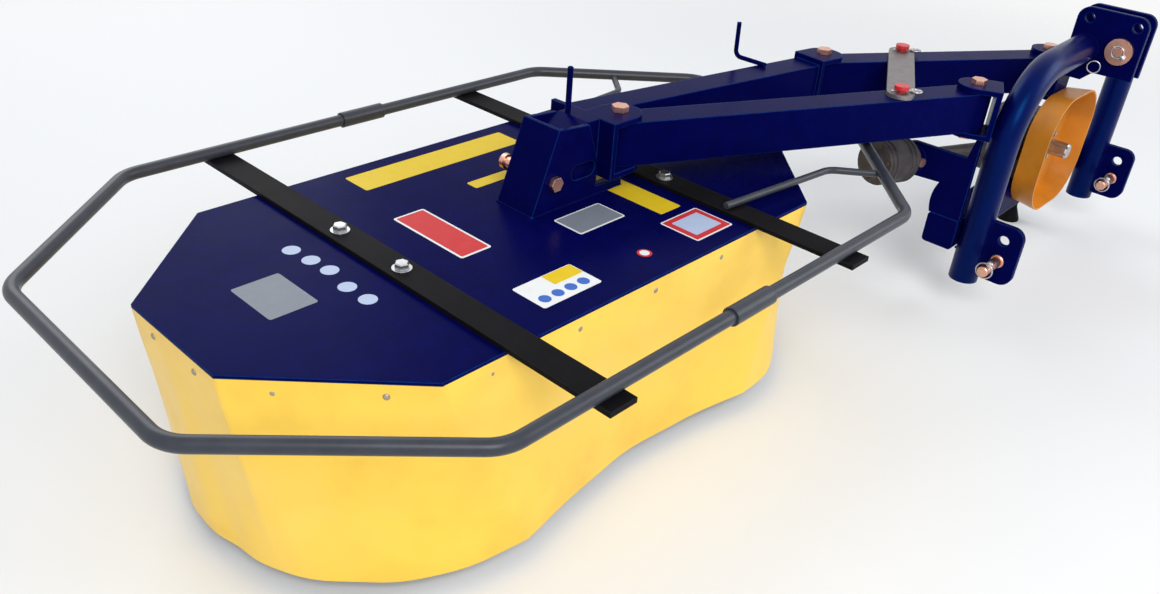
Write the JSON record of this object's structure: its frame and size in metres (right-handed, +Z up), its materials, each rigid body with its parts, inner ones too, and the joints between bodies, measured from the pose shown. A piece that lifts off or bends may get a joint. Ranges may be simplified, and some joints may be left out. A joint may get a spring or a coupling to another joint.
{
  "type": "two-drum rotary mower",
  "caption": "Rear-mounted drum mower: an octagonal skirted deck with a guard rail, carried on two swinging arms by an arched three-point headstock.",
  "frame": {"origin": "on the input stub's axis, midway between the lower hitch points", "axes": "+Z up, -Y towards the tractor, the deck lies towards -X"},
  "size_m": [2.3886, 1.007, 0.61],
  "materials": {
    "blue_paint": "glossy enamel",
    "drum_paint": "satin enamel, grass-worn",
    "black_bar": "satin black paint",
    "rail_paint": "satin dark slate paint",
    "skirt_cloth": "coated yellow cloth",
    "shield_plastic": "moulded amber plastic",
    "plated_pin": "yellow-passivated steel",
    "red_pin": "red enamel",
    "bare_steel": "zinc-plated",
    "grey_casting": "dark painted casting",
    "skid_steel": "pressed steel, scuffed"
  },
  "bodies": {
    "headstock": {"arch": "blue_paint", "top_plate_near": "blue_paint", "top_plate_far": "blue_paint", "top_link_pin": "plated_pin", "crossbeam": "blue_paint", "hitch_ear_near": "blue_paint", "hitch_ear_far": "blue_paint", "hitch_pin_near": "plated_pin", "hitch_pin_far": "plated_pin", "headstock_gearbox": "grey_casting", "input_shield": "shield_plastic", "near_pivot_bracket": "blue_paint", "near_gusset": "blue_paint", "far_pivot_bracket": "blue_paint", "near_pivot_pin": "plated_pin", "far_pivot_pin": "plated_pin", "leg_sleeve": "blue_paint"},
    "input_rotor": {"input_shaft": "bare_steel"},
    "side_rotor": {"side_shaft": "grey_casting"},
    "leg": {"parking_leg": "black_bar"},
    "near_link": {"near_arm": "blue_paint", "lock_strap": "bare_steel", "strap_pin_near": "red_pin", "strap_pin_far": "red_pin"},
    "far_link": {"far_arm": "blue_paint"},
    "carrier": {"carrier": "blue_paint", "carrier_upright": "blue_paint", "inner_arm": "blue_paint", "arm_hook": "blue_paint", "inner_pivot_pin": "plated_pin", "knee_pin": "plated_pin"},
    "deck": {"deck_cover": "blue_paint", "skirt": "skirt_cloth", "gear_case": "grey_casting", "drum_axle_left": "grey_casting", "drum_axle_right": "grey_casting", "cross_bar_left": "black_bar", "cross_bar_right": "black_bar", "guard_rail_left": "rail_paint", "guard_rail_right": "rail_paint", "rail_sleeves": "rail_paint", "rail_brace_near": "rail_paint", "rail_brace_far": "rail_paint", "tilt_bracket": "blue_paint", "tilt_pin": "plated_pin"},
    "deck_input": {"deck_input_shaft": "bare_steel"},
    "drum_left": {"drum_left": "drum_paint", "knives_left": "bare_steel"},
    "drum_right": {"drum_right": "drum_paint", "knives_right": "bare_steel"},
    "skid_left": {"skid_left": "skid_steel"},
    "skid_right": {"skid_right": "skid_steel"}
  },
  "joints": [
    {"name": "side_shaft_spin", "type": "hinge", "parent": "headstock", "child": "side_rotor", "pos_m": [-0.1, 0.092, 0], "axis": [-0.9604, 0.2712, 0.0637], "continuous": true},
    {"name": "input_spin", "type": "hinge", "parent": "headstock", "child": "input_rotor", "pos_m": [0, 0, 0], "axis": [0, 1, 0], "continuous": true},
    {"name": "leg_slide", "type": "slide", "parent": "headstock", "child": "leg", "axis": [0, 0, 1], "range_m": [0, 0.115]},
    {"name": "near_swing", "type": "hinge", "parent": "headstock", "child": "near_link", "pos_m": [-0.373, 0.08, 0.153], "axis": [0, 0, 1], "range_deg": [-55, 0]},
    {"name": "far_swing", "type": "hinge", "parent": "headstock", "child": "far_link", "pos_m": [0.019, 0.09, 0.153], "axis": [0, 0, 1], "range_deg": [-63.91, 0]},
    {"name": "carrier_swing", "type": "hinge", "parent": "near_link", "child": "carrier", "pos_m": [-1.071, 0.4, 0.153], "axis": [0, 0, 1], "range_deg": [0, 40.07]},
    {"name": "deck_tilt", "type": "hinge", "parent": "carrier", "child": "deck", "pos_m": [-1.234, 0.429, 0.12], "axis": [0, 1, 0], "range_deg": [0, 10]},
    {"name": "deck_input_spin", "type": "hinge", "parent": "deck", "child": "deck_input", "pos_m": [-0.64, 0.43, 0.025], "axis": [1, 0, 0], "continuous": true},
    {"name": "drum_spin_left", "type": "hinge", "parent": "deck", "child": "drum_left", "pos_m": [-1.537, 0.43, -0.2], "axis": [0, 0, 1], "continuous": true},
    {"name": "skid_spin_left", "type": "hinge", "parent": "deck", "child": "skid_left", "pos_m": [-1.537, 0.43, -0.2], "axis": [0, 0, 1], "continuous": true},
    {"name": "drum_spin_right", "type": "hinge", "parent": "deck", "child": "drum_right", "pos_m": [-0.997, 0.43, -0.2], "axis": [0, 0, 1], "continuous": true},
    {"name": "skid_spin_right", "type": "hinge", "parent": "deck", "child": "skid_right", "pos_m": [-0.997, 0.43, -0.2], "axis": [0, 0, 1], "continuous": true}
  ],
  "couplings": [
    {"joint": "input_spin", "follows": "side_shaft_spin", "ratio": 1},
    {"joint": "far_swing", "follows": "near_swing", "ratio": 1.161},
    {"joint": "carrier_swing", "follows": "near_swing", "ratio": -0.7276},
    {"joint": "drum_spin_left", "follows": "drum_spin_right", "ratio": -1},
    {"joint": "deck_input_spin", "follows": "drum_spin_right", "ratio": 0.55}
  ]
}
